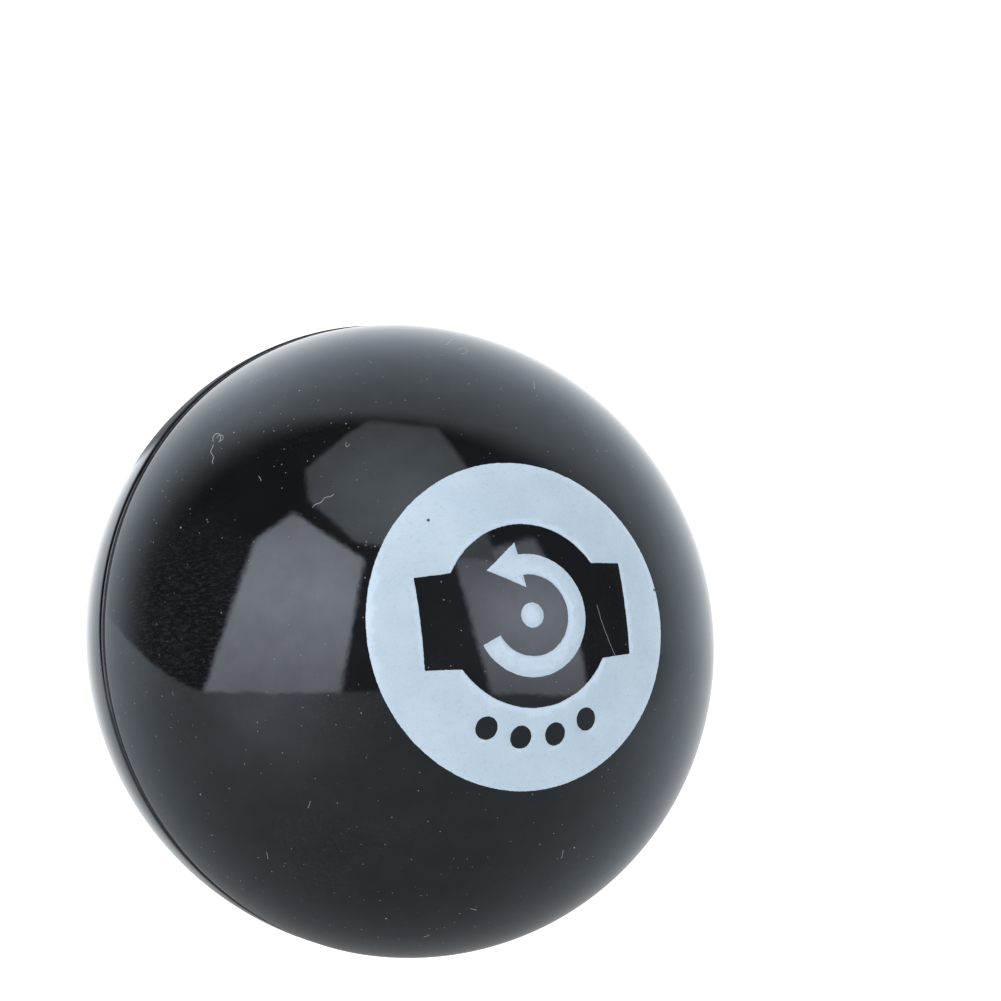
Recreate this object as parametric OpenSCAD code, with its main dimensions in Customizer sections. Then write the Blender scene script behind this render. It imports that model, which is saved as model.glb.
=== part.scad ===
// Palm-sized rubber friction ball for turning screw-down watch backs.
// Two moulded half shells are butt-bonded at the equator, so the ball is hollow and holds air.
// Frame: origin at the ball's centre, +Z out through the middle of the printed disc,
// +Y towards the top of the printed mark, the seam in the plane z = 0.

/* [Ball] */
// Outside diameter
ball_d = 65; // [52:0.5:80]
// Rubber wall of both half shells
wall = 6; // [4:0.1:8]

/* [Seam] */
// Cement film between the two butt faces
film_t = 0.3; // [0.2:0.05:0.4]
// Radius on the outer edge of each butt face
lip_r = 0.65; // [0.5:0.05:0.9]
// Radius of the cement bead's crown
bead_r = 0.42; // [0.34:0.02:0.5]
// How far the bead stays below the ball's surface
bead_drop = 0.08; // [0.04:0.01:0.14]
// Radius of the cement squeezed out on the inside
squeeze_r = 0.7; // [0.5:0.05:1]

/* [Sealing plug] */
// Diameter where the plug meets the inner wall
plug_d = 15; // [12:0.5:19]
// Thickness in the middle
plug_t = 4; // [3:0.25:5.5]
// Diameter of the dimple that marks the needle's place
dimple_d = 2; // [1.5:0.1:3]
// Depth of that dimple
dimple_depth = 0.7; // [0.4:0.1:1.5]

/* [Printed disc] */
// Diameter of the printed disc, measured straight across
print_d = 31.6; // [29:0.2:40]
// Ink thickness
ink_t = 0.05; // [0.03:0.01:0.1]

/* [Printed mark] */
// Diameter of the watch outline left unprinted in the disc
watch_d = 17.6; // [15.4:0.2:19]
// Length over the watch's strap stubs
watch_span = 22; // [20.4:0.2:24]
// Width of a strap stub at the watch
strap_w = 10; // [7:0.2:12]
// How much narrower the stub is at its end
strap_taper = 1.2; // [0:0.1:3]
// Mean radius of the turning arrow
arrow_r = 4.9; // [4.4:0.1:5.4]
// Width of the arrow's band
arrow_w = 2; // [1.4:0.1:2.4]
// Degrees of the circle that the arrow's band covers
arrow_sweep = 250; // [200:5:270]
// Length of the arrow's head
head_len = 3.6; // [2.8:0.1:4.2]
// Width of the arrow's head
head_w = 4.4; // [3.4:0.1:4.6]
// Diameter of the dot in the middle of the arrow
hub_d = 2.4; // [1.6:0.1:3]
// Number of dots in the row below the watch
dot_count = 4; // [2:1:5]
// Diameter of those dots
dot_d = 2.2; // [1.4:0.1:2.6]
// Distance between neighbouring dots along their arc
dot_pitch = 3.7; // [3.2:0.1:4]
// Clear ink between the watch and the dots
dot_gap = 1.7; // [1:0.1:2.2]

/* [Hidden] */
$fn = 180;

outer_r = ball_d / 2;
inner_r = outer_r - wall;
butt_z = film_t / 2;
beyond = 1;                          // how far cutters run past what they cut
overlap = 0.1;                       // how far outlines of one piece run into each other

// Centre of the round on a lip, tangent to the ball and to the butt face.
lip_z = butt_z + lip_r;
lip_x = sqrt(pow(outer_r - lip_r, 2) - pow(lip_z, 2));
lip_angle = atan2(lip_z, lip_x);

// The film runs out between the lips until it is inside the bead.
bead_x = outer_r - bead_drop - bead_r;
film_x = max(bead_x, lip_x) + bead_r / 4;
film_start_x = inner_r - squeeze_r / 4;
squeeze_x = inner_r + squeeze_r / 6;

// The plug's inner face is a sphere through the plug's rim and its middle.
plug_rim_z = sqrt(pow(inner_r, 2) - pow(plug_d / 2, 2));
plug_top_z = inner_r - plug_t;
plug_rise = plug_rim_z - plug_top_z;
plug_face_r = (pow(plug_d / 2, 2) + pow(plug_rise, 2)) / (2 * plug_rise);

mark_y = 0.9;                        // the watch sits above the disc's middle, for the dots
head_angle = 95;                     // where the arrow's head starts, from the +X side
dots_r = watch_d / 2 + dot_gap + dot_d / 2;
dot_step = dot_pitch / dots_r * 180 / PI;

// One half of the wall, z > 0, as the outline that is turned about the axis.
module half_shell_outline() {
    difference() {
        intersection() {
            circle(r = outer_r);
            translate([0, butt_z]) square(outer_r + beyond);
        }
        circle(r = inner_r);
        difference() {
            lip_corner();
            translate([lip_x, lip_z]) circle(r = lip_r);
        }
    }
}

// The wall's sharp outer corner, out from the centre of the round that replaces it.
module lip_corner() {
    far = outer_r + beyond;
    polygon([
        [lip_x, lip_z],
        [lip_x, butt_z - beyond],
        [far, butt_z - beyond],
        [far, far * tan(lip_angle)]
    ]);
}

module half_shell() {
    rotate_extrude() half_shell_outline();
}

// Upper half, which carries the print.
module printed_half_shell() {
    color([0.05, 0.05, 0.055]) half_shell();
}

// Lower half, with the dimple under the sealing plug.
module plain_half_shell() {
    color([0.06, 0.06, 0.065])
        mirror([0, 0, 1])
            difference() {
                half_shell();
                translate([0, 0, outer_r - dimple_depth])
                    cylinder(h = dimple_depth + beyond, d = dimple_d);
            }
}

// Film between the butt faces, the bead in the groove outside and the squeeze-out inside.
module seam_cement() {
    color([0.02, 0.02, 0.02])
        rotate_extrude() {
            translate([film_start_x, -butt_z]) square([film_x - film_start_x, film_t]);
            bead_outline();
            intersection() {
                translate([squeeze_x, 0]) circle(r = squeeze_r);
                circle(r = inner_r);
            }
        }
}

// The bead, trimmed where it lies against the two lips.
module bead_outline() {
    difference() {
        intersection() {
            translate([bead_x, 0]) circle(r = bead_r);
            translate([lip_x, -outer_r]) square(2 * outer_r);
        }
        for (side = [-1, 1])
            translate([lip_x, side * lip_z]) circle(r = lip_r);
    }
}

// Soft gum lens on the inner wall, which closes behind the inflating needle.
module sealing_plug() {
    color([0.36, 0.25, 0.15])
        intersection() {
            sphere(r = inner_r);
            translate([0, 0, -(plug_top_z + plug_face_r)]) sphere(r = plug_face_r);
        }
}

// The child outline, printed on the ball as a film of ink that follows the sphere.
module ink() {
    intersection() {
        difference() {
            sphere(r = outer_r + ink_t);
            sphere(r = outer_r);
        }
        translate([0, 0, outer_r / 2]) linear_extrude(outer_r) children();
    }
}

// A watch seen from behind, lying on its side.
module watch_outline() {
    circle(d = watch_d);
    for (side = [0, 1])
        mirror([side, 0])
            polygon([
                [0, strap_w / 2],
                [0, -strap_w / 2],
                [watch_span / 2, (strap_taper - strap_w) / 2],
                [watch_span / 2, (strap_w - strap_taper) / 2]
            ]);
}

// An anticlockwise arrow, the way a back unscrews.
module turning_arrow() {
    difference() {
        circle(r = arrow_r + arrow_w / 2);
        circle(r = arrow_r - arrow_w / 2);
        arrow_opening();
    }
    rotate(head_angle)
        translate([arrow_r, -overlap])
            polygon([[-head_w / 2, 0], [head_w / 2, 0], [0, head_len + overlap]]);
}

// The sector that the arrow's band leaves open, as a fan wider than the band.
module arrow_opening() {
    far = 2 * (arrow_r + arrow_w);
    steps = 4;
    polygon(concat(
        [[0, 0]],
        [for (i = [0 : steps])
            let (a = head_angle + i * (360 - arrow_sweep) / steps)
                [far * cos(a), far * sin(a)]]
    ));
}

module dot_row() {
    first = -90 - (dot_count - 1) / 2 * dot_step;
    for (i = [0 : dot_count - 1])
        rotate(first + i * dot_step)
            translate([dots_r, 0])
                circle(d = dot_d);
}

// The disc of ink, with the watch and the dots left out of it.
module print_field() {
    color([0.75, 0.83, 0.9])
        ink()
            difference() {
                circle(d = print_d);
                translate([0, mark_y]) {
                    watch_outline();
                    dot_row();
                }
            }
}

// The islands of ink inside the watch: the arrow and the dot in its middle.
module print_arrow() {
    color([0.75, 0.83, 0.9])
        ink()
            translate([0, mark_y]) {
                turning_arrow();
                circle(d = hub_d);
            }
}

printed_half_shell();
plain_half_shell();
seam_cement();
sealing_plug();
print_field();
print_arrow();
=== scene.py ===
"""A hollow rubber friction ball for watch backs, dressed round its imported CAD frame.

The row frame is in metres: the ball's centre is the origin, the printed disc faces +Z, the
printed mark's top points to +Y, and the seam lies in the plane z = 0.
"""

import math

import bpy
from mathutils import Matrix, Vector, kdtree, noise
from mathutils.geometry import delaunay_2d_cdt


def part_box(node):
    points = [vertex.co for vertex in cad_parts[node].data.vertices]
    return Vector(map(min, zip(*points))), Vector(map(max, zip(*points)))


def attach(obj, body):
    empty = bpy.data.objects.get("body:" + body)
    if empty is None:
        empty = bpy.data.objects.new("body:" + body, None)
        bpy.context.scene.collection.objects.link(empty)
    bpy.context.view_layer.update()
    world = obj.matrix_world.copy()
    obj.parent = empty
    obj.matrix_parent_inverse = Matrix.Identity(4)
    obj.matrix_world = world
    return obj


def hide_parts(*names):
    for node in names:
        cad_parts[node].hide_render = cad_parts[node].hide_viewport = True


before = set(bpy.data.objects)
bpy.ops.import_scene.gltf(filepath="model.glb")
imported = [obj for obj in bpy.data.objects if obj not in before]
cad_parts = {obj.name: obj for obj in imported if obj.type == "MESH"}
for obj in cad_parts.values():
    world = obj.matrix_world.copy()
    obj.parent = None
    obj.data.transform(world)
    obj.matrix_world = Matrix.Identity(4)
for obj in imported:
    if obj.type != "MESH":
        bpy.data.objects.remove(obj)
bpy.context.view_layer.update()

MM = 0.001

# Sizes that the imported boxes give.
SHELL_LOW, SHELL_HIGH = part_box("printed_half_shell")
RADIUS = SHELL_HIGH.z
BUTT_Z = SHELL_LOW.z
PLUG_LOW, PLUG_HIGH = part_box("sealing_plug")
INNER_RADIUS = -PLUG_LOW.z
BEAD_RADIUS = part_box("seam_cement")[1].x
INK_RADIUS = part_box("print_field")[1].x

# Sizes that part.scad names.
LIP_ROUND = 0.65 * MM
BEAD_ROUND = 0.42 * MM
SQUEEZE_ROUND = 0.7 * MM
DIMPLE_RADIUS = 1.0 * MM
DIMPLE_DEPTH = 0.7 * MM
INK_THICKNESS = 0.05 * MM
MARK_Y = 0.9 * MM
WATCH_RADIUS = 8.8 * MM
WATCH_SPAN = 22.0 * MM
STRAP_WIDTH = 10.0 * MM
STRAP_TAPER = 1.2 * MM
ARROW_RADIUS = 4.9 * MM
ARROW_WIDTH = 2.0 * MM
ARROW_SWEEP = 250
ARROW_HEAD_START = 95
ARROW_HEAD_LENGTH = 3.6 * MM
ARROW_HEAD_WIDTH = 4.4 * MM
HUB_RADIUS = 1.2 * MM
DOT_COUNT = 4
DOT_RADIUS = 1.1 * MM
DOT_PITCH = 3.7 * MM
DOT_GAP = 1.7 * MM

RUBBER_IOR = 1.52
RIM_SHADE_ANGLE = 122           # where the plain half's rim gets painted shade (its reflection cut), from the image's right

# Where the camera stands, seen from the ball.
VIEW_TILT = 23.36          # between the camera's direction and the disc's axis
VIEW_TURN = 181.6          # of the camera's direction round +Z, from +X
POLE_RISE = 7.07           # of the disc's middle above the image's horizontal
CAMERA_DISTANCE = 12 * RADIUS
FOCAL_LENGTH = 135.3
AIM_RIGHT = 0.317 * RADIUS  # the camera looks past the ball, up and to the right
AIM_UP = 0.443 * RADIUS


def camera_axes():
    """The image's right and up, and the way from the ball to the camera."""
    tilt = math.radians(VIEW_TILT)
    turn = math.radians(VIEW_TURN)
    towards = Vector((math.sin(tilt) * math.cos(turn), math.sin(tilt) * math.sin(turn), math.cos(tilt)))
    pole = Vector((0, 0, 1))
    along = (pole - pole.dot(towards) * towards).normalized()
    across = towards.cross(along)
    rise = math.radians(POLE_RISE)
    right = math.cos(rise) * along - math.sin(rise) * across
    return right, towards.cross(right), towards


RIGHT, UP, TOWARDS = camera_axes()


def view_way(degrees):
    """The direction across the view at an angle from the image's right."""
    angle = math.radians(degrees)
    return RIGHT * math.cos(angle) + UP * math.sin(angle)


# The ball left its mould a little out of round: longer one way across the view.
STRETCH = 0.0151
STRETCH_ANGLE = -55        # from the image's right


def out_of_round():
    """The matrix that makes a true ball's points longer one way and shorter the other."""
    long_way = view_way(STRETCH_ANGLE)
    short_way = TOWARDS.cross(long_way)
    shape = Matrix.Identity(3)
    for axis, amount in ((long_way, STRETCH), (short_way, -STRETCH)):
        for i in range(3):
            for j in range(3):
                shape[i][j] += amount * axis[i] * axis[j]
    return shape


SHAPE = out_of_round()
BULGE = 0.2 * MM           # a soft swelling on the side where the view meets the rear half
BULGE_ANGLE = 215


def moulded(point):
    """Where a point of the true ball lies on the real one."""
    way = view_way(BULGE_ANGLE)
    near = max(0.0, point.dot(way) / RADIUS)
    return SHAPE @ point + way * BULGE * near ** 3


def seen_at(x, y):
    """The point of the ball that the camera sees x to the right of and y above its middle, in radii."""
    return (RIGHT * x + UP * y + TOWARDS * math.sqrt(1 - x * x - y * y)) * RADIUS


# The halves were trimmed by eye, so the seam dips towards the plain side on one side of the ball.
SEAM_LEAN = math.radians(1.4)
SEAM_LEAN_WAY = 240        # from the image's right


def leaned(x, y, z):
    """Swings a point of the ball along its own sphere: fully at the seam, not at all at the poles."""
    way = view_way(SEAM_LEAN_WAY)
    r = math.hypot(x, y)
    if r < 1e-7:
        return x, y, z
    share = (x * way.x + y * way.y) / (r * math.hypot(way.x, way.y))
    swing = -SEAM_LEAN * share * (r * r / (r * r + z * z)) ** 2
    nr = r * math.cos(swing) - z * math.sin(swing)
    nz = r * math.sin(swing) + z * math.cos(swing)
    return x * nr / r, y * nr / r, nz


# The halves didn't meet quite square, so on one side the plain one stands out past the other.
STEP_OUT = 0.08 * MM       # of the plain half
STEP_IN = 0.14 * MM        # of the printed half
STEP_WAY = 130             # from the image's right


def stepped(x, y, z, step):
    """Slides a point of a half in the seam's plane: fully at the seam, not at all at the pole."""
    way = view_way(STEP_WAY)
    slide = step * ((x * x + y * y) / (x * x + y * y + z * z)) ** 2 / math.hypot(way.x, way.y)
    return x + way.x * slide, y + way.y * slide, z


# ---------------------------------------------------------------- mesh helpers


def new_piece(name, verts, faces, node, material):
    """A smooth-shaded object that stands for one CAD node."""
    mesh = bpy.data.meshes.new(name)
    mesh.from_pydata([moulded(Vector(v)) for v in verts], [], faces)
    mesh.validate()
    mesh.shade_smooth()
    piece = bpy.data.objects.new(name, mesh)
    bpy.context.scene.collection.objects.link(piece)
    mesh.materials.append(material)
    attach(piece, "root")
    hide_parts(node)
    return piece


def arc(centre, radius, start, end, steps):
    """Points (r, z) on an arc, angles in degrees from the +r side."""
    points = []
    for i in range(steps + 1):
        a = math.radians(start + (end - start) * i / steps)
        points.append((centre[0] + radius * math.cos(a), centre[1] + radius * math.sin(a)))
    return points


def lathe(outline, segments, shift=None):
    """Turns a closed outline of (r, z) points about Z. Points on the axis become one vertex.
    shift(r, z, angle) may move each point in its own plane."""
    verts = []
    rings = []
    for r, z in outline:
        if r < 1e-7:
            rings.append([len(verts)] * segments)
            verts.append((0, 0, z))
            continue
        ring = []
        for s in range(segments):
            angle = 2 * math.pi * s / segments
            pr, pz = shift(r, z, angle) if shift else (r, z)
            ring.append(len(verts))
            verts.append((pr * math.cos(angle), pr * math.sin(angle), pz))
        rings.append(ring)
    faces = []
    for k, ring in enumerate(rings):
        after = rings[(k + 1) % len(rings)]
        for s in range(segments):
            t = (s + 1) % segments
            corners = [ring[s], ring[t], after[t], after[s]]
            unique = list(dict.fromkeys(corners))
            if len(unique) > 2:
                faces.append(unique)
    return verts, faces


def wobble(angle, turns, seed):
    """Smooth noise from -1 to 1 that closes on itself round the seam."""
    return noise.noise(Vector((turns * math.cos(angle), turns * math.sin(angle), seed)))


# ---------------------------------------------------------------- shells, seam, plug

SEGMENTS = 384
OUTER_STEPS = 100
INNER_STEPS = 40
LIP_STEPS = 12
LIP_Z = BUTT_Z + LIP_ROUND
LIP_R = math.sqrt((RADIUS - LIP_ROUND) ** 2 - LIP_Z ** 2)
LIP_ANGLE = math.degrees(math.atan2(LIP_Z, LIP_R))


def half_shell_outline(dimpled):
    """The wall for z > 0: outside from the pole to the lip, round it, and back along the inside."""
    if dimpled:
        mouth = 0.25 * MM
        rim_r = DIMPLE_RADIUS + mouth
        rim_angle = math.degrees(math.acos(rim_r / RADIUS))
        floor_z = RADIUS - DIMPLE_DEPTH
        points = [(0, floor_z), (DIMPLE_RADIUS * 0.55, floor_z)]
        points += arc((DIMPLE_RADIUS * 0.7, floor_z + 0.3 * DIMPLE_RADIUS), 0.3 * DIMPLE_RADIUS, -90, 0, 6)
        points += arc((rim_r, RADIUS - mouth), mouth, 180, 95, 6)
        points += arc((0, 0), RADIUS, rim_angle - 0.4, LIP_ANGLE, OUTER_STEPS)
    else:
        points = arc((0, 0), RADIUS, 90, LIP_ANGLE, OUTER_STEPS)
        points[0] = (0, RADIUS)
    points += arc((LIP_R, LIP_Z), LIP_ROUND, LIP_ANGLE, -90, LIP_STEPS)[1:]
    inside_low = math.degrees(math.asin(BUTT_Z / INNER_RADIUS))
    inside = arc((0, 0), INNER_RADIUS, inside_low, 90, INNER_STEPS)
    middle = (LIP_R + inside[0][0]) / 2
    points.append((middle, BUTT_Z))
    inside[-1] = (0, INNER_RADIUS)
    return points + inside


def worn_lip(side):
    """The trimmed lip: its round comes and goes a little along the seam."""

    def shift(r, z, angle):
        near = max(0.0, 1 - (z - BUTT_Z) / (1.6 * LIP_Z)) if r > RADIUS * 0.95 else 0.0
        amount = 0.035 * wobble(angle, 9, 3.1 * side) + 0.02 * wobble(angle, 40, 7.7 * side)
        return r - abs(amount) * near * near * MM, z

    return shift


def half_shell(name, node, material, sign):
    outline = half_shell_outline(dimpled=sign < 0)
    verts, faces = lathe(outline, SEGMENTS, worn_lip(sign))
    if sign < 0:
        verts = [(x, y, -z) for x, y, z in verts]
        faces = [f[::-1] for f in faces]
    faces = [f[::-1] for f in faces]
    step = STEP_OUT if sign < 0 else -STEP_IN
    verts = [stepped(*leaned(*v), step) for v in verts]
    return new_piece(name, verts, faces, node, material)


def seam_cement(material):
    """The film with its crowned outer bead and the squeeze-out inside, as one closed ring."""
    crown = 0.6 * BEAD_ROUND
    lip_clear = 0.012 * MM
    foot = BUTT_Z - lip_clear
    bead = arc((BEAD_RADIUS - crown, 0), crown, -88, 88, 14)
    squeeze = arc((INNER_RADIUS + SQUEEZE_ROUND / 6, 0), SQUEEZE_ROUND, 115, 245, 12)
    outline = [(LIP_R, -foot)] + bead + [(LIP_R, foot), (INNER_RADIUS, foot)]
    outline += squeeze + [(INNER_RADIUS, -foot)]

    def shift(r, z, angle):
        if r < LIP_R + 0.1 * MM:
            return r, z
        drop = 0.05 * abs(wobble(angle, 14, 21.0)) + 0.03 * abs(wobble(angle, 70, 33.0))
        side = 0.04 * wobble(angle, 11, 45.0) + 0.015 * wobble(angle, 60, 51.0)
        return r - drop * MM, z + side * MM

    verts, faces = lathe(outline, SEGMENTS * 2, shift)
    verts = [leaned(*v) for v in verts]
    return new_piece("seam_bead", verts, faces, "seam_cement", material)


def sealing_plug(material):
    """The gum lens, with a soft rim and a shallow moulded ring round its middle."""
    rim_r = PLUG_HIGH.x
    top_z = INNER_RADIUS - (PLUG_HIGH.z - PLUG_LOW.z)
    rim_z = math.sqrt(INNER_RADIUS ** 2 - rim_r ** 2)
    steps = 24
    outline = [(0, INNER_RADIUS)]
    for i in range(1, steps + 1):
        r = rim_r * i / steps
        outline.append((r, math.sqrt(INNER_RADIUS ** 2 - r * r)))
    for i in range(steps - 1, -1, -1):
        share = i / steps
        ring = 0.12 * MM * math.exp(-((share - 0.45) / 0.06) ** 2)
        outline.append((rim_r * share, top_z + (rim_z - top_z) * share ** 2.2 - ring))
    verts, faces = lathe(outline, 96)
    verts = [(x, y, -z) for x, y, z in verts]
    return new_piece("gum_plug", verts, faces, "sealing_plug", material)


# ---------------------------------------------------------------- print

INK_STEP = 0.12 * MM       # between points on an outline
INK_EDGE = 0.06 * MM       # width of the ink's thin edge
INK_GRID = 0.8 * MM        # between points in the open ink
INK_SINK = 0.01 * MM       # how far the film's underside is into the rubber
RAGGED = 0.045 * MM


def resample(points, step):
    """Points along a closed outline, near enough to each other."""
    out = []
    for k, (x, y) in enumerate(points):
        nx, ny = points[(k + 1) % len(points)]
        count = max(1, round(math.hypot(nx - x, ny - y) / step))
        for i in range(count):
            out.append((x + (nx - x) * i / count, y + (ny - y) * i / count))
    return out


def sideways(points, k):
    """The unit normal at a point of a closed outline, to its right."""
    x0, y0 = points[k - 1]
    x1, y1 = points[(k + 1) % len(points)]
    length = math.hypot(x1 - x0, y1 - y0)
    return (y1 - y0) / length, (x0 - x1) / length


def offset(points, distance):
    moved = []
    for k, (x, y) in enumerate(points):
        nx, ny = sideways(points, k)
        moved.append((x + nx * distance, y + ny * distance))
    return moved


def ragged(points, seed):
    """The slightly uneven outline that a printing pad leaves, with a nick here and there."""
    moved = []
    for k, (x, y) in enumerate(points):
        nx, ny = sideways(points, k)
        fine = noise.noise(Vector((x / (0.28 * MM), y / (0.28 * MM), seed)))
        broad = noise.noise(Vector((x / (1.3 * MM), y / (1.3 * MM), seed + 50)))
        amount = RAGGED * (0.75 * fine + 0.6 * broad)
        moved.append((x + nx * amount, y + ny * amount))
    return moved


def circle(cx, cy, radius):
    count = max(24, round(2 * math.pi * radius / INK_STEP))
    turn = 2 * math.pi / count
    return [(cx + radius * math.cos(turn * i), cy + radius * math.sin(turn * i)) for i in range(count)]


def watch_outline():
    """A watch seen from behind, lying on its side: a round with two strap stubs."""
    half_span = WATCH_SPAN / 2
    slope = STRAP_TAPER / WATCH_SPAN
    points = []
    count = round(2 * math.pi * half_span / INK_STEP)
    for i in range(count):
        a = 2 * math.pi * i / count
        c, s = abs(math.cos(a)), abs(math.sin(a))
        strap = min(half_span / max(c, 1e-6), (STRAP_WIDTH / 2) / (s + slope * c))
        r = max(WATCH_RADIUS, strap)
        points.append((r * math.cos(a), MARK_Y + r * math.sin(a)))
    return resample(points, INK_STEP)


def arrow_outline():
    """The turning arrow's band and head, in one outline."""
    tail = ARROW_HEAD_START - ARROW_SWEEP
    outer = arc((0, MARK_Y), ARROW_RADIUS + ARROW_WIDTH / 2, tail, ARROW_HEAD_START, 90)
    inner = arc((0, MARK_Y), ARROW_RADIUS - ARROW_WIDTH / 2, ARROW_HEAD_START, tail, 60)
    a = math.radians(ARROW_HEAD_START)
    radial = Vector((math.cos(a), math.sin(a)))
    ahead = Vector((-math.sin(a), math.cos(a)))
    root = Vector((0, MARK_Y)) + radial * ARROW_RADIUS
    head = [
        root + radial * ARROW_HEAD_WIDTH / 2,
        root + ahead * ARROW_HEAD_LENGTH,
        root - radial * ARROW_HEAD_WIDTH / 2,
    ]
    return resample(outer + [tuple(p) for p in head] + inner, INK_STEP)


def dots():
    row_radius = WATCH_RADIUS + DOT_GAP + DOT_RADIUS
    step = DOT_PITCH / row_radius
    first = -math.pi / 2 - (DOT_COUNT - 1) / 2 * step
    places = [first + i * step for i in range(DOT_COUNT)]
    return [circle(row_radius * math.cos(a), MARK_Y + row_radius * math.sin(a), DOT_RADIUS) for a in places]


def inside(x, y, loops):
    """Whether a point is in the ink, by how many outline edges lie to its right."""
    crossings = 0
    for loop in loops:
        for k in range(len(loop)):
            x0, y0 = loop[k - 1]
            x1, y1 = loop[k]
            if (y0 > y) != (y1 > y) and x < x0 + (y - y0) / (y1 - y0) * (x1 - x0):
                crossings += 1
    return crossings % 2 == 1


def ink_film(name, node, solid_loops, open_loops, material, seed):
    """A film of ink on the sphere: thin at its outlines, full a little way in."""
    rims = [ragged(loop, seed) for loop in solid_loops + open_loops]
    inward = [-INK_EDGE] * len(solid_loops) + [INK_EDGE] * len(open_loops)
    crests = [offset(rim, distance) for rim, distance in zip(rims, inward)]
    coords, heights, edges = [], [], []
    for loops, height in ((rims, 0.0), (crests, INK_THICKNESS)):
        for loop in loops:
            start = len(coords)
            coords += [Vector(p) for p in loop]
            heights += [height] * len(loop)
            edges += [(start + k, start + (k + 1) % len(loop)) for k in range(len(loop))]
    near = kdtree.KDTree(len(coords))
    for i, p in enumerate(coords):
        near.insert((p.x, p.y, 0), i)
    near.balance()
    reach = math.ceil(INK_RADIUS / INK_GRID)
    for i in range(-reach, reach + 1):
        for j in range(-reach, reach + 1):
            x = (i + 0.5 * (j % 2)) * INK_GRID
            y = j * INK_GRID * 0.866
            if near.find((x, y, 0))[2] > 0.5 * INK_GRID and inside(x, y, crests):
                coords.append(Vector((x, y)))
                heights.append(INK_THICKNESS)
    flat, _, triangles, origins, _, _ = delaunay_2d_cdt(coords, edges, [], 0, 1e-9)
    height = [heights[o[0]] if o else INK_THICKNESS for o in origins]
    kept = [t for t in triangles if inside(*(sum((flat[i] for i in t), Vector((0, 0))) / 3), rims)]
    return film_piece(name, node, flat, height, kept, material)


def film_piece(name, node, flat, height, triangles, material):
    """Lifts a flat triangulation onto the sphere and closes it with an underside."""
    used = sorted({i for t in triangles for i in t})
    place = {old: new for new, old in enumerate(used)}
    top = [on_sphere(flat[i], RADIUS + height[i] + INK_SINK * 0.2) for i in used]
    under = [on_sphere(flat[i], RADIUS - INK_SINK) for i in used]
    count = len(used)
    faces = [[place[i] for i in t] for t in triangles]
    open_edges = {}
    for face in faces:
        for k in range(3):
            a, b = face[k], face[(k + 1) % 3]
            if (b, a) in open_edges:
                del open_edges[(b, a)]
            else:
                open_edges[(a, b)] = True
    shell = faces + [[i + count for i in reversed(f)] for f in faces]
    shell += [[b, a, a + count, b + count] for a, b in open_edges]
    return new_piece(name, top + under, shell, node, material)


def on_sphere(point, radius):
    return (point.x, point.y, math.sqrt(radius ** 2 - point.x ** 2 - point.y ** 2))


# ---------------------------------------------------------------- materials


class Graph:
    """Short calls for building a node tree."""

    def __init__(self, tree):
        self.tree = tree
        tree.nodes.clear()

    def node(self, kind, inputs=None, **settings):
        made = self.tree.nodes.new(kind)
        for key, value in settings.items():
            setattr(made, key, value)
        for key, value in (inputs or {}).items():
            self.feed(made.inputs[key], value)
        return made

    def feed(self, socket, value):
        if isinstance(value, bpy.types.NodeSocket):
            self.tree.links.new(value, socket)
        else:
            socket.default_value = value

    def math(self, operation, *values):
        made = self.node("ShaderNodeMath", operation=operation)
        for socket, value in zip(made.inputs, values):
            self.feed(socket, value)
        return made.outputs[0]

    def vector(self, operation, *values):
        made = self.node("ShaderNodeVectorMath", operation=operation)
        for socket, value in zip(made.inputs, values):
            self.feed(socket, value)
        scalar = operation in ("DOT_PRODUCT", "LENGTH", "DISTANCE")
        return made.outputs["Value" if scalar else "Vector"]

    def ramp(self, value, low, high, out_low=0.0, out_high=1.0):
        """Goes smoothly from out_low to out_high as value goes from low to high."""
        settings = {"Value": value, "From Min": low, "From Max": high, "To Min": out_low, "To Max": out_high}
        made = self.node("ShaderNodeMapRange", settings, interpolation_type="SMOOTHSTEP")
        return made.outputs["Result"]

    def blend(self, share, a, b):
        """Number a where share is 0 and b where it is 1."""
        made = self.node("ShaderNodeMix", data_type="FLOAT")
        for key, value in (("Factor", share), ("A", a), ("B", b)):
            self.feed([s for s in made.inputs if s.name == key and s.type == "VALUE"][0], value)
        return [s for s in made.outputs if s.type == "VALUE"][0]

    def blend_colour(self, share, a, b):
        made = self.node("ShaderNodeMix", data_type="RGBA")
        self.feed(made.inputs[0], share)
        self.feed([s for s in made.inputs if s.name == "A" and s.type == "RGBA"][0], a)
        self.feed([s for s in made.inputs if s.name == "B" and s.type == "RGBA"][0], b)
        return [s for s in made.outputs if s.type == "RGBA"][0]

    def noise(self, place, scale, detail=2.0, rough=0.5, **extra):
        settings = {"Vector": place, "Scale": scale, "Detail": detail, "Roughness": rough}
        return self.node("ShaderNodeTexNoise", settings, **extra).outputs["Fac"]

    def cells(self, place, scale):
        """A Voronoi node: distance to, position of and random colour of the nearest cell point."""
        return self.node("ShaderNodeTexVoronoi", {"Vector": place, "Scale": scale}, feature="F1")


def rgb(r, g, b):
    return (r, g, b, 1.0)


def new_material(name):
    material = bpy.data.materials.new(name)
    material.use_nodes = True
    graph = Graph(material.node_tree)
    shader = graph.node("ShaderNodeBsdfPrincipled")
    output = graph.node("ShaderNodeOutputMaterial", {"Surface": shader.outputs[0]})
    output.is_active_output = True
    return material, graph, shader


def millimetres(graph):
    """The surface point in the row frame, in millimetres."""
    place = graph.node("ShaderNodeTexCoord").outputs["Object"]
    return graph.vector("MULTIPLY", place, (1000, 1000, 1000))


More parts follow.
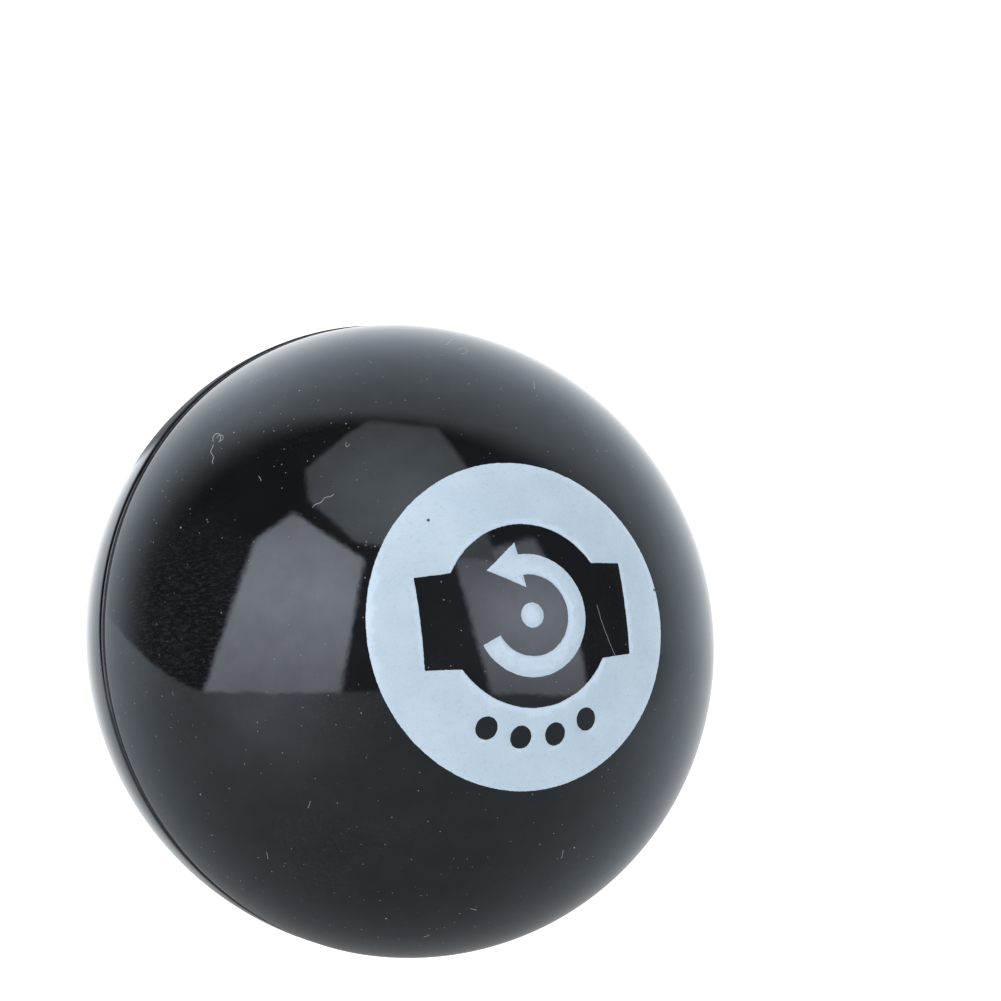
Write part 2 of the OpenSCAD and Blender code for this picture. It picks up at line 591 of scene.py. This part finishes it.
def specks(graph, place, spacing, smallest, largest, rarity):
    """Round specks, one to a cell at most, with a few large and most of them small."""
    cell = graph.cells(place, 1 / spacing)
    chance = graph.node("ShaderNodeSeparateColor", {"Color": cell.outputs["Color"]}).outputs["Red"]
    size = graph.math("POWER", chance, rarity)
    radius = graph.ramp(size, 0, 1, smallest / spacing, largest / spacing)
    inner = graph.math("MULTIPLY", radius, 0.45)
    made = {"Value": cell.outputs["Distance"], "From Min": radius, "From Max": inner}
    return graph.node("ShaderNodeMapRange", made, interpolation_type="SMOOTHSTEP").outputs["Result"]


def seen_offset(graph, place, seen, turn):
    """How far (mm) the surface is from a spot, along and across a line drawn through it as it is seen."""
    away = graph.vector("SUBTRACT", place, tuple(seen_at(*seen) / MM))
    c, s = math.cos(math.radians(turn)), math.sin(math.radians(turn))
    u = graph.vector("DOT_PRODUCT", away, tuple(RIGHT * c + UP * s))
    v = graph.vector("DOT_PRODUCT", away, tuple(UP * c - RIGHT * s))
    near = graph.math("GREATER_THAN", graph.vector("DOT_PRODUCT", away, tuple(TOWARDS)), -8.0)
    return u, v, near


def fibre(graph, place, seen, turn, length, width, bend, wave):
    """A thread of lint on the ball: a bowed and rippled line through a given spot."""
    u, v, near = seen_offset(graph, place, seen, turn)
    bow = graph.math("MULTIPLY", graph.math("MULTIPLY", u, u), bend)
    ripple = graph.math("MULTIPLY", graph.math("SINE", graph.math("MULTIPLY", u, 5.5)), wave)
    slow = graph.math("MULTIPLY", graph.math("SINE", graph.math("MULTIPLY_ADD", u, 2.1, 1.0)), wave)
    off_line = graph.math("SUBTRACT", graph.math("SUBTRACT", v, bow), graph.math("ADD", ripple, slow))
    line = graph.ramp(graph.math("ABSOLUTE", off_line), width, 0.35 * width)
    end = graph.ramp(graph.math("ABSOLUTE", u), length / 2, 0.8 * length / 2)
    return graph.math("MULTIPLY", graph.math("MULTIPLY", line, end), near)


def curl(graph, place, seen, radius, width, gap):
    """A thread of lint curled nearly into a ring, open on the side that gap points to."""
    u, v, near = seen_offset(graph, place, seen, gap)
    across = graph.math("MULTIPLY", v, 1.25)
    square = graph.math("ADD", graph.math("MULTIPLY", u, u), graph.math("MULTIPLY", across, across))
    ring = graph.math("ABSOLUTE", graph.math("SUBTRACT", graph.math("SQRT", square), radius))
    line = graph.ramp(ring, width, 0.35 * width)
    closed = graph.math("LESS_THAN", u, 0.7 * radius)
    return graph.math("MULTIPLY", graph.math("MULTIPLY", line, closed), near)


# Lint: where it is seen, its turn, length, width, bow and ripple (mm), and how plain it is.
FIBRES = (
    ((-0.57, 0.56), 94, 2.2, 0.042, 0.03, 0.10, 0.6),
    ((-0.23, 0.41), 30, 2.6, 0.038, 0.03, 0.07, 0.7),
    ((-0.42, 0.48), 110, 0.6, 0.036, 0.3, 0.03, 0.6),
    ((0.61, 0.02), -69, 6.0, 0.030, 0.02, 0.01, 0.5),
    ((0.15, 0.92), 35, 1.2, 0.042, 0.2, 0.08, 0.4),
    ((-0.27, -0.49), 60, 0.8, 0.036, 0.3, 0.04, 0.5),
    ((-0.4, -0.65), 85, 0.8, 0.036, 0.1, 0.05, 0.4),
    ((0.49, -0.65), 70, 1.0, 0.036, 0.2, 0.05, 0.5),
    ((0.22, -0.82), -30, 0.7, 0.040, 0.1, 0.05, 0.5),
    ((0.08, -0.91), 10, 0.7, 0.036, 0.3, 0.04, 0.5),
    ((0.41, 0.78), 80, 0.9, 0.036, 0.2, 0.04, 0.6),
)
CURLS = (
    ((-0.56, 0.61), 0.50, 0.050, 262, 0.6),
    ((-0.55, 0.61), 0.36, 0.045, 215, 0.5),
    ((0.19, 0.89), 0.45, 0.042, 200, 0.35),
    ((-0.16, 0.58), 0.22, 0.042, 60, 0.5),
)


def all_lint(graph, place):
    """Every thread of lint on the side of the ball that is seen."""
    total = None
    for seen, turn, length, width, bend, wave, plain in FIBRES:
        one = graph.math("MULTIPLY", fibre(graph, place, seen, turn, length, width, bend, wave), plain)
        total = one if total is None else graph.math("MAXIMUM", total, one)
    for seen, radius, width, gap, plain in CURLS:
        one = graph.math("MULTIPLY", curl(graph, place, seen, radius, width, gap), plain)
        total = graph.math("MAXIMUM", total, one)
    return total


def rubbed(graph, place, seen, reach):
    """How near the surface is to a spot that has been rubbed: 1 there, 0 beyond reach (mm)."""
    away = graph.vector("DISTANCE", place, tuple(seen_at(*seen) / MM))
    return graph.ramp(away, reach, 0.35 * reach)


BLACK = (0.0035, 0.0038, 0.0044)


def rubber(name, rim_shade_angle=None):
    """Glossy moulded rubber with a breath of dust, lint, fine scuffs and handling haze. With an
    angle given, from the image's right, painted shade: a patch at the edge seen there is made rougher and
    far less shiny, which darkens its reflection."""
    material, g, shader = new_material(name)
    place = millimetres(g)
    plain_dust = specks(g, place, 2.1, 0.02, 0.12, 3.0)
    faint_dust = specks(g, place, 0.66, 0.0, 0.085, 1.6)
    dirt = g.math("MAXIMUM", g.math("MULTIPLY", plain_dust, 0.6), g.math("MULTIPLY", faint_dust, 0.4))
    dirt = g.math("MAXIMUM", dirt, all_lint(g, place))
    patches = g.ramp(g.noise(place, 0.09, 3.0), 0.45, 0.7)
    grain = g.noise(place, 3.2, 4.0, 0.7)
    haze = g.math("MULTIPLY", patches, g.ramp(grain, 0.45, 0.75))
    strokes = g.noise(g.vector("MULTIPLY", place, (1.3, 4.2, 1.3)), 1.0, 4.0, 0.75)
    scuffed = g.math("MULTIPLY", rubbed(g, place, (-0.67, 0.09), 12.0), g.ramp(strokes, 0.47, 0.62))
    tone = g.ramp(g.noise(place, 0.2, 2.0), 0.3, 0.7)
    plain = g.blend_colour(tone, rgb(*BLACK), rgb(*(1.35 * c for c in BLACK)))
    hazy = g.blend_colour(g.math("MULTIPLY", haze, 0.35), plain, rgb(0.03, 0.031, 0.034))
    hazy = g.blend_colour(g.math("MULTIPLY", scuffed, 0.5), hazy, rgb(0.024, 0.026, 0.028))
    colour = g.blend_colour(dirt, hazy, rgb(0.50, 0.51, 0.52))
    g.feed(shader.inputs["Base Color"], colour)
    rough = g.ramp(g.noise(place, 0.5, 3.0), 0.3, 0.8, 0.035, 0.075)
    rough = g.math("ADD", rough, g.math("MULTIPLY", haze, 0.06))
    rough = g.math("ADD", rough, g.math("MULTIPLY", scuffed, 0.05))
    rough = g.blend(dirt, rough, 0.7)
    shine = g.ramp(g.noise(place, 0.35, 3.0, 0.6), 0.3, 0.7, 0.465, 0.53)
    # Painted shade: a patch at the rim seen towards the given angle gets its reflection cut and its
    # roughness raised.
    if rim_shade_angle is not None:
        way = view_way(rim_shade_angle) / (RADIUS / MM)
        painted_shade = g.ramp(g.vector("DOT_PRODUCT", place, tuple(way)), 0.885, 0.945)
        rough = g.blend(painted_shade, rough, 0.5)
        shine = g.blend(painted_shade, shine, 0.1)
    g.feed(shader.inputs["Specular IOR Level"], shine)
    g.feed(shader.inputs["Roughness"], rough)
    shader.inputs["IOR"].default_value = RUBBER_IOR
    peel = g.noise(place, 2.2, 2.0)
    swell = g.noise(place, 0.45, 2.0)
    pits = specks(g, place, 1.0, 0.0, 0.12, 4)
    relief = g.math("ADD", g.math("MULTIPLY", peel, 0.0011), g.math("MULTIPLY", dirt, 0.03))
    relief = g.math("MULTIPLY_ADD", swell, 0.008, relief)
    relief = g.math("SUBTRACT", relief, g.math("MULTIPLY", pits, 0.006))
    bump = g.node("ShaderNodeBump", {"Height": relief, "Strength": 1.0, "Distance": MM})
    g.feed(shader.inputs["Normal"], bump.outputs["Normal"])
    return material


def cement():
    """The dried rubber cement of the seam: dull and a little lumpy."""
    material, g, shader = new_material("seam_rubber")
    place = millimetres(g)
    lumps = g.noise(place, 2.5, 4.0, 0.7)
    colour = g.blend_colour(lumps, rgb(0.004, 0.004, 0.0045), rgb(0.03, 0.03, 0.032))
    g.feed(shader.inputs["Base Color"], colour)
    g.feed(shader.inputs["Roughness"], g.ramp(lumps, 0.3, 0.7, 0.22, 0.4))
    shader.inputs["Specular IOR Level"].default_value = 0.2
    bump = g.node("ShaderNodeBump", {"Height": lumps, "Strength": 0.6, "Distance": 0.03 * MM})
    g.feed(shader.inputs["Normal"], bump.outputs["Normal"])
    return material


def gum():
    """Translucent brown gum rubber, a little cloudy."""
    material, g, shader = new_material("gum_rubber")
    place = millimetres(g)
    cloud = g.noise(place, 0.4, 4.0)
    g.feed(shader.inputs["Base Color"], g.blend_colour(cloud, rgb(0.2, 0.1, 0.035), rgb(0.3, 0.17, 0.07)))
    g.feed(shader.inputs["Roughness"], g.ramp(cloud, 0.3, 0.7, 0.35, 0.5))
    fine = g.noise(place, 5.0, 3.0)
    bump = g.node("ShaderNodeBump", {"Height": fine, "Strength": 0.3, "Distance": 0.02 * MM})
    g.feed(shader.inputs["Normal"], bump.outputs["Normal"])
    return material


# Where the ink has missed or chipped off: the place as it is seen, and a radius in mm.
BARE_SPOTS = (
    ((0.08, 0.35), 0.19),
    ((0.77, 0.15), 0.26),
    ((0.77, 0.13), 0.16),
    ((0.28, -0.35), 0.08),
    ((0.69, 0.29), 0.07),
    ((0.13, -0.14), 0.07),
)


def ink():
    """Pale pad-printed ink: mottled, with pinholes down to the rubber and rubbed specks."""
    material, g, shader = new_material("print_ink")
    place = millimetres(g)
    broad = g.noise(place, 0.25, 3.0)
    mottle = g.noise(place, 2.0, 4.0, 0.65)
    pale = g.blend_colour(g.ramp(broad, 0.3, 0.7), rgb(0.465, 0.585, 0.70), rgb(0.51, 0.62, 0.725))
    worn = g.blend_colour(g.math("MULTIPLY", g.ramp(mottle, 0.5, 0.75), 0.5), pale, rgb(0.36, 0.46, 0.56))
    pinholes = specks(g, place, 2.6, 0.0, 0.2, 10)
    rubs = specks(g, place, 0.55, 0.0, 0.075, 2.5)
    thin = g.math("MAXIMUM", pinholes, g.math("MULTIPLY", rubs, 0.35))
    for seen, radius in BARE_SPOTS:
        away = g.vector("DISTANCE", place, tuple(seen_at(*seen) / MM))
        uneven = g.math("MULTIPLY_ADD", mottle, 0.5 * radius, away)
        thin = g.math("MAXIMUM", thin, g.ramp(uneven, 1.3 * radius, 0.8 * radius))
    g.feed(shader.inputs["Base Color"], g.blend_colour(thin, worn, rgb(0.02, 0.022, 0.025)))
    g.feed(shader.inputs["Roughness"], g.ramp(mottle, 0.3, 0.8, 0.24, 0.36))
    relief = g.math("SUBTRACT", g.math("MULTIPLY", mottle, 0.004), g.math("MULTIPLY", thin, 0.03))
    bump = g.node("ShaderNodeBump", {"Height": relief, "Strength": 1.0, "Distance": MM})
    g.feed(shader.inputs["Normal"], bump.outputs["Normal"])
    return material


# ---------------------------------------------------------------- studio

TABLE_EDGE = -0.172
TABLE_CORNER = -0.6        # left of this the table's edge turns away

# The dark room, measured from its middle.
ROOM_MIDDLE = -0.1
ROOM_TO_RIGHT = 0.885
ROOM_TO_LEFT = 0.76
ROOM_TO_TOP = 0.685
ROOM_POWER = 2.1           # 2 would be an ellipse; more is squarer


def bowed(start, end, depth, steps=4):
    """Points on a shallow curve from start to end, standing out to its right by depth."""
    (x0, y0), (x1, y1) = start, end
    length = math.hypot(x1 - x0, y1 - y0)
    points = []
    for i in range(steps + 1):
        share = i / steps
        out = 4 * depth * share * (1 - share) / length
        points.append((x0 + (x1 - x0) * share + (y1 - y0) * out, y0 + (y1 - y0) * share - (x1 - x0) * out))
    return points


# The lights are placed by where their reflections lie on the ball as the camera sees it:
# to the right and above its middle, in ball radii. Both softboxes stand behind the table.
SOFTBOX_FOOT = TABLE_EDGE - 0.04
SOFTBOX_LEFT = [(-0.63, SOFTBOX_FOOT), (-0.2, SOFTBOX_FOOT), (-0.11, 0.24), (-0.33, 0.38), (-0.45, 0.29)]
SOFTBOX_RIGHT = [(0.17, 0.25), (0.29, SOFTBOX_FOOT)] + bowed((0.58, SOFTBOX_FOOT), (0.42, 0.32), 0.04)
UMBRELLA = [(-0.13, 0.29), (0.3, 0.24), (0.22, 0.53), (0.13, 0.65), (-0.09, 0.67), (-0.19, 0.6),
            (-0.29, 0.51), (-0.28, 0.42)]
ROOM_TINT = (0.87, 1.0, 1.12)
SOFTBOX_TINT = (0.93, 1.0, 1.17)
SKY_TINT = (0.95, 1.0, 1.04)


def panel(g, x, y, corners, soft):
    """1 inside a convex outline given anticlockwise, falling to 0 across its soft edge."""
    inside_all = None
    for k, (x0, y0) in enumerate(corners):
        x1, y1 = corners[(k + 1) % len(corners)]
        length = math.hypot(x1 - x0, y1 - y0)
        nx, ny = (y0 - y1) / length, (x1 - x0) / length
        depth = g.math("MULTIPLY_ADD", x, nx, g.math("MULTIPLY_ADD", y, ny, -(x0 * nx + y0 * ny)))
        edge = g.ramp(depth, -soft, soft)
        inside_all = edge if inside_all is None else g.math("MULTIPLY", inside_all, edge)
    return inside_all


def spot(g, x, y, centre, size):
    """A bell-shaped patch round a centre."""
    dx = g.math("DIVIDE", g.math("SUBTRACT", x, centre[0]), size[0])
    dy = g.math("DIVIDE", g.math("SUBTRACT", y, centre[1]), size[1])
    square = g.math("ADD", g.math("MULTIPLY", dx, dx), g.math("MULTIPLY", dy, dy))
    return g.math("EXPONENT", g.math("MULTIPLY", square, -0.5))


def backdrop(g, x, y, radius):
    """The white sweep beyond the room: brighter upwards, and brightest at the ball's very rim."""
    rise = g.math("DIVIDE", y, radius)
    lean = g.math("DIVIDE", x, radius)
    height = g.math("MINIMUM", g.math("DIVIDE", g.math("ADD", rise, 1.0), 1.05), 1.0)
    level = g.math("MULTIPLY_ADD", height, 0.8, g.math("MULTIPLY_ADD", lean, 0.08, 0.29))
    overhead = g.math("MULTIPLY", g.ramp(radius, 0.85, 0.98, -0.05, 0.2), g.ramp(rise, -0.1, 0.5))
    level = g.math("MULTIPLY", level, g.math("ADD", overhead, 1.0))
    at_right = g.math("MULTIPLY", g.ramp(lean, 0.4, 0.95), g.ramp(rise, -0.35, 0.0))
    at_right = g.math("MULTIPLY", at_right, g.ramp(radius, 0.97, 0.88, 0.4, 1.0))
    level = g.math("MULTIPLY", level, g.math("MULTIPLY_ADD", at_right, -0.15, 1.0))
    far_left = g.math("MULTIPLY", g.ramp(lean, -0.5, -0.8), g.ramp(radius, 0.955, 0.99))
    level = g.math("MULTIPLY_ADD", far_left, 0.42, level)
    level = g.math("MULTIPLY_ADD", spot(g, x, y, (-0.47, 0.82), (0.2, 0.14)), 0.3, level)
    return g.blend(g.ramp(radius, 0.993, 0.9995), level, 1.1)


def table_top(g, x, y):
    level = g.math("MULTIPLY_ADD", spot(g, x, y, (-0.42, -0.19), (0.16, 0.15)), 0.7, 0.5)
    return g.math("MULTIPLY_ADD", spot(g, x, y, (-0.74, -0.18), (0.09, 0.09)), -0.3, level)


def above_table(g, x, y):
    """1 above the table's far edge, which bends down at the left and grows vague at the right."""
    past_corner = g.math("MAXIMUM", g.math("SUBTRACT", TABLE_CORNER, x), 0.0)
    edge = g.math("MULTIPLY_ADD", g.math("POWER", past_corner, 1.65), 1.5, TABLE_EDGE)
    edge = g.math("ADD", edge, g.ramp(x, -0.4, 0.0, 0.0, 0.015))
    vague = g.ramp(x, 0.5, 0.85, 0.007, 0.15)
    return g.ramp(g.math("SUBTRACT", y, edge), g.math("MULTIPLY", vague, -1.0), vague)


def in_room(g, x, y):
    """1 inside the dark room's rounded outline, with an edge that is softer at the sides."""
    from_middle = g.math("SUBTRACT", x, ROOM_MIDDLE)
    to_right = g.math("DIVIDE", from_middle, ROOM_TO_RIGHT)
    across = g.math("MAXIMUM", to_right, g.math("DIVIDE", from_middle, -ROOM_TO_LEFT))
    upward = g.math("DIVIDE", g.math("ABSOLUTE", y), ROOM_TO_TOP)
    powers = g.math("ADD", g.math("POWER", across, ROOM_POWER), g.math("POWER", upward, ROOM_POWER))
    oval = g.math("POWER", powers, 1 / ROOM_POWER)
    aside = g.math("ABSOLUTE", x)
    outer = g.ramp(aside, 0.1, 0.7, 1.04, 1.13)
    inner = g.ramp(aside, 0.1, 0.7, 0.95, 0.88)
    return g.ramp(oval, outer, inner)


def studio():
    """Soft white light all round, and for reflections a dark room with two softboxes and an umbrella."""
    world = bpy.data.worlds.new("studio")
    world.use_nodes = True
    g = Graph(world.node_tree)
    ray = g.node("ShaderNodeTexCoord").outputs["Generated"]
    half = g.vector("NORMALIZE", g.vector("ADD", ray, tuple(TOWARDS)))
    x = g.vector("DOT_PRODUCT", half, tuple(RIGHT))
    y = g.vector("DOT_PRODUCT", half, tuple(UP))
    radius = g.math("SQRT", g.math("ADD", g.math("MULTIPLY", x, x), g.math("MULTIPLY", y, y)))

    level = g.blend(g.ramp(radius, 0.5, 0.88), table_top(g, x, y), backdrop(g, x, y, radius))
    over_table = above_table(g, x, y)
    dark = g.math("MULTIPLY_ADD", spot(g, x, y, (0.2, 0.0), (0.4, 0.35)), 0.215, 0.035)
    level = g.blend(g.math("MULTIPLY", in_room(g, x, y), over_table), level, dark)

    glow_left = g.math("MULTIPLY_ADD", spot(g, x, y, (-0.3, 0.14), (0.3, 0.16)), 1.9, 2.1)
    left_box = g.math("MULTIPLY", panel(g, x, y, SOFTBOX_LEFT, 0.011), over_table)
    level = g.blend(left_box, level, glow_left)
    glow_right = g.math("MULTIPLY_ADD", spot(g, x, y, (0.42, 0.07), (0.2, 0.13)), 2.1, 1.2)
    right_box = g.math("MULTIPLY", panel(g, x, y, SOFTBOX_RIGHT, 0.012), over_table)
    level = g.blend(right_box, level, glow_right)
    glow_top = g.math("MULTIPLY_ADD", spot(g, x, y, (0.0, 0.42), (0.2, 0.13)), 1.1, 0.72)
    level = g.blend(panel(g, x, y, UMBRELLA, 0.011), level, glow_top)

    tint = g.blend_colour(g.ramp(radius, 0.9, 1.0), rgb(*ROOM_TINT), rgb(*SKY_TINT))
    tint = g.blend_colour(g.math("MAXIMUM", left_box, right_box), tint, rgb(*SOFTBOX_TINT))
    reflected = g.node("ShaderNodeEmission", {"Color": tint, "Strength": level})
    key = g.vector("DOT_PRODUCT", ray, tuple((0.2 * UP - 0.8 * RIGHT + 0.5 * TOWARDS).normalized()))
    ambient = g.math("MULTIPLY_ADD", key, 0.28, 1.0)
    plain = g.node("ShaderNodeEmission", {"Color": rgb(1, 1, 1), "Strength": ambient})
    glossy = g.node("ShaderNodeLightPath").outputs["Is Glossy Ray"]
    both = g.node("ShaderNodeMixShader", {0: glossy, 1: plain.outputs[0], 2: reflected.outputs[0]})
    g.node("ShaderNodeOutputWorld", {"Surface": both.outputs[0]})
    bpy.context.scene.world = world


def floor():
    """A white floor under the ball's plain pole, bright enough to hide all but the closest shadow."""
    size = 4.0
    z = -RADIUS
    mesh = bpy.data.meshes.new("floor")
    corners = [(-size, -size, z), (size, -size, z), (size, size, z), (-size, size, z)]
    mesh.from_pydata(corners, [], [(0, 1, 2, 3)])
    material = bpy.data.materials.new("floor")
    material.use_nodes = True
    g = Graph(material.node_tree)
    shader = g.node("ShaderNodeBsdfPrincipled")
    shader.inputs["Base Color"].default_value = rgb(0.9, 0.9, 0.9)
    shader.inputs["Roughness"].default_value = 0.9
    shader.inputs["Emission Color"].default_value = rgb(1, 1, 1)
    shader.inputs["Emission Strength"].default_value = 0.7
    g.node("ShaderNodeOutputMaterial", {"Surface": shader.outputs[0]})
    mesh.materials.append(material)
    plane = bpy.data.objects.new("floor", mesh)
    bpy.context.scene.collection.objects.link(plane)
    plane.visible_glossy = False


def camera():
    data = bpy.data.cameras.new("camera")
    data.sensor_width = 36
    data.lens = FOCAL_LENGTH
    data.clip_start = 0.01
    place = TOWARDS * CAMERA_DISTANCE
    aim = RIGHT * AIM_RIGHT + UP * AIM_UP
    back = (place - aim).normalized()
    side = UP.cross(back).normalized()
    made = bpy.data.objects.new("camera", data)
    turned = Matrix((side, back.cross(side), back)).transposed().to_4x4()
    made.matrix_world = Matrix.Translation(place) @ turned
    bpy.context.scene.collection.objects.link(made)
    bpy.context.scene.camera = made


# ---------------------------------------------------------------- the scene

black = rubber("black_rubber")
# The plain half carries painted shade: a patch at its seen rim with the reflection cut.
rubber_with_painted_shade = rubber("black_rubber_painted_shade", rim_shade_angle=RIM_SHADE_ANGLE)
seam = cement()
pale_ink = ink()

half_shell("print_side_shell", "printed_half_shell", black, 1)
half_shell("plain_side_shell", "plain_half_shell", rubber_with_painted_shade, -1)
seam_cement(seam)
sealing_plug(gum())
disc = circle(0, 0, INK_RADIUS)
hub = circle(0, MARK_Y, HUB_RADIUS)
ink_film("ink_disc", "print_field", [disc], [watch_outline()] + dots(), pale_ink, 1.0)
ink_film("ink_arrow", "print_arrow", [arrow_outline(), hub], [], pale_ink, 2.0)

camera()
floor()
studio()
bpy.context.scene.view_settings.view_transform = "Standard"
